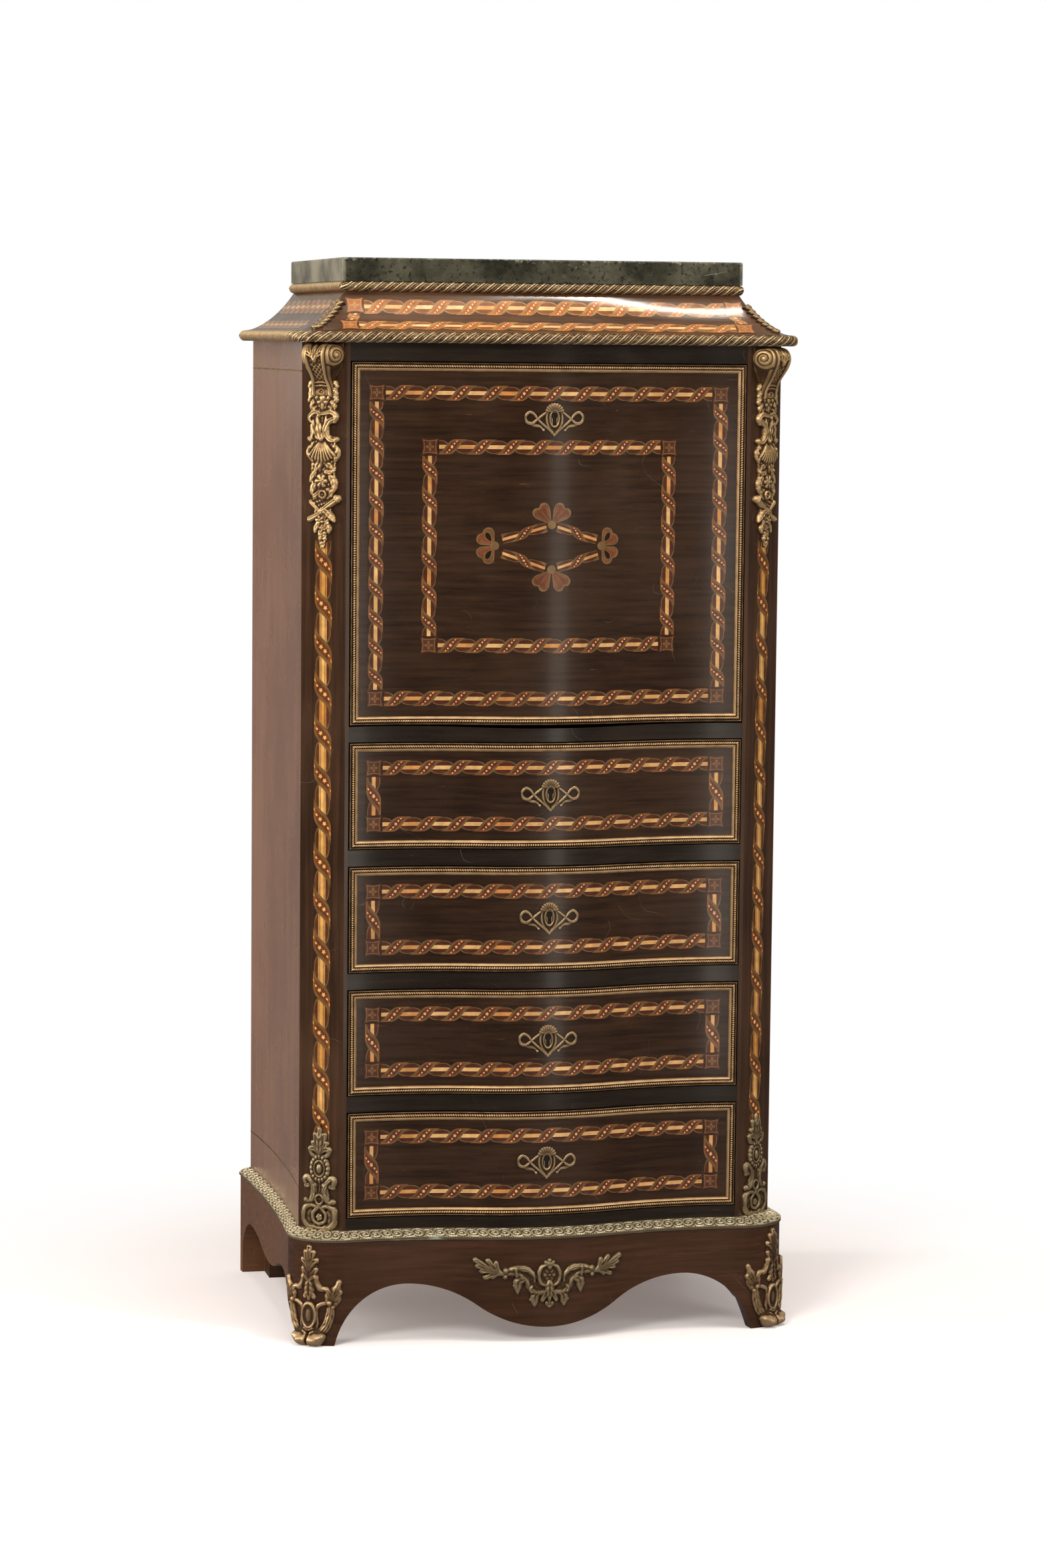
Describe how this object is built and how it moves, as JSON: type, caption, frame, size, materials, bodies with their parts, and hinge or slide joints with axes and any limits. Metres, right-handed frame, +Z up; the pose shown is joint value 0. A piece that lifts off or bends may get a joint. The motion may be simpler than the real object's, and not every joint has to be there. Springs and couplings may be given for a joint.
{
  "type": "fall-front writing desk",
  "caption": "Tall serpentine escritoire with a drop-down writing front over drawers, inner nest of pigeonholes, marble top, ribbon inlay and gilt bronze mounts.",
  "frame": {"origin": "floor level, at the middle of the desk's whole width and depth", "axes": "+X to the right as one faces the desk, +Y towards the back, +Z up"},
  "size_m": [0.674, 0.4946, 1.4],
  "materials": {
    "dark_veneer": "varnished dark veneer with ribbon inlay",
    "case_veneer": "varnished red-brown veneer",
    "nest_veneer": "varnished fruitwood veneer",
    "oak": "planed oak",
    "marble": "polished dark green marble",
    "gilt_bronze": "aged gilt bronze",
    "brass": "plain brass",
    "steel": "blued steel",
    "leather": "tooled writing leather"
  },
  "bodies": {
    "carcase": {"apron_mount": "gilt_bronze", "back_apron": "oak", "back_panel": "oak", "base_moulding": "gilt_bronze", "bottom_board": "oak", "corner_feet": "case_veneer", "corner_posts": "case_veneer", "cornice": "case_veneer", "cornice_mounts": "gilt_bronze", "desk_floor": "oak", "drawer_rails": "dark_veneer", "drawer_runners": "oak", "foot_mounts": "gilt_bronze", "front_apron": "case_veneer", "hinge_bushes": "brass", "left_side_panel": "case_veneer", "lower_corner_mounts": "gilt_bronze", "marble_top": "marble", "nest_case": "oak", "right_side_panel": "case_veneer", "rope_mouldings": "gilt_bronze", "side_aprons": "case_veneer", "stay_keepers": "brass", "top_board": "oak", "top_rail": "dark_veneer", "upper_corner_mounts": "gilt_bronze"},
    "fall_front": {"fall_front_panel": "dark_veneer", "fall_front_moulding": "gilt_bronze", "fall_front_escutcheon": "gilt_bronze", "fall_front_lock": "steel", "writing_leather": "leather", "quadrant_stays": "brass", "flap_pivots": "brass"},
    "fall_front_bolt": {"fall_front_lock_bolt": "steel"},
    "drawer_1": {"drawer_1_front": "dark_veneer", "drawer_1_box": "oak", "drawer_1_moulding": "gilt_bronze", "drawer_1_escutcheon": "gilt_bronze", "drawer_1_lock": "steel"},
    "drawer_1_bolt": {"drawer_1_lock_bolt": "steel"},
    "drawer_2": {"drawer_2_front": "dark_veneer", "drawer_2_box": "oak", "drawer_2_moulding": "gilt_bronze", "drawer_2_escutcheon": "gilt_bronze", "drawer_2_lock": "steel"},
    "drawer_2_bolt": {"drawer_2_lock_bolt": "steel"},
    "drawer_3": {"drawer_3_front": "dark_veneer", "drawer_3_box": "oak", "drawer_3_moulding": "gilt_bronze", "drawer_3_escutcheon": "gilt_bronze", "drawer_3_lock": "steel"},
    "drawer_3_bolt": {"drawer_3_lock_bolt": "steel"},
    "drawer_4": {"drawer_4_front": "dark_veneer", "drawer_4_box": "oak", "drawer_4_moulding": "gilt_bronze", "drawer_4_escutcheon": "gilt_bronze", "drawer_4_lock": "steel"},
    "drawer_4_bolt": {"drawer_4_lock_bolt": "steel"},
    "inner_drawer_left": {"inner_drawer_left": "nest_veneer"},
    "inner_drawer_right": {"inner_drawer_right": "nest_veneer"}
  },
  "joints": [
    {"name": "fall_front_hinge", "type": "hinge", "parent": "carcase", "child": "fall_front", "pos_m": [0, -0.18975, 0.85], "axis": [1, 0, 0], "range_deg": [0, 90]},
    {"name": "fall_front_bolt_throw", "type": "slide", "parent": "fall_front", "child": "fall_front_bolt", "axis": [0, 0, 1], "range_m": [0, 0.009]},
    {"name": "drawer_1_slide", "type": "slide", "parent": "carcase", "child": "drawer_1", "axis": [0, -1, 0], "range_m": [0, 0.27]},
    {"name": "drawer_1_bolt_throw", "type": "slide", "parent": "drawer_1", "child": "drawer_1_bolt", "axis": [0, 0, 1], "range_m": [0, 0.009]},
    {"name": "drawer_2_slide", "type": "slide", "parent": "carcase", "child": "drawer_2", "axis": [0, -1, 0], "range_m": [0, 0.27]},
    {"name": "drawer_2_bolt_throw", "type": "slide", "parent": "drawer_2", "child": "drawer_2_bolt", "axis": [0, 0, 1], "range_m": [0, 0.009]},
    {"name": "drawer_3_slide", "type": "slide", "parent": "carcase", "child": "drawer_3", "axis": [0, -1, 0], "range_m": [0, 0.27]},
    {"name": "drawer_3_bolt_throw", "type": "slide", "parent": "drawer_3", "child": "drawer_3_bolt", "axis": [0, 0, 1], "range_m": [0, 0.009]},
    {"name": "drawer_4_slide", "type": "slide", "parent": "carcase", "child": "drawer_4", "axis": [0, -1, 0], "range_m": [0, 0.27]},
    {"name": "drawer_4_bolt_throw", "type": "slide", "parent": "drawer_4", "child": "drawer_4_bolt", "axis": [0, 0, 1], "range_m": [0, 0.009]},
    {"name": "inner_drawer_left_slide", "type": "slide", "parent": "carcase", "child": "inner_drawer_left", "axis": [0, -1, 0], "range_m": [0, 0.11]},
    {"name": "inner_drawer_right_slide", "type": "slide", "parent": "carcase", "child": "inner_drawer_right", "axis": [0, -1, 0], "range_m": [0, 0.11]}
  ]
}
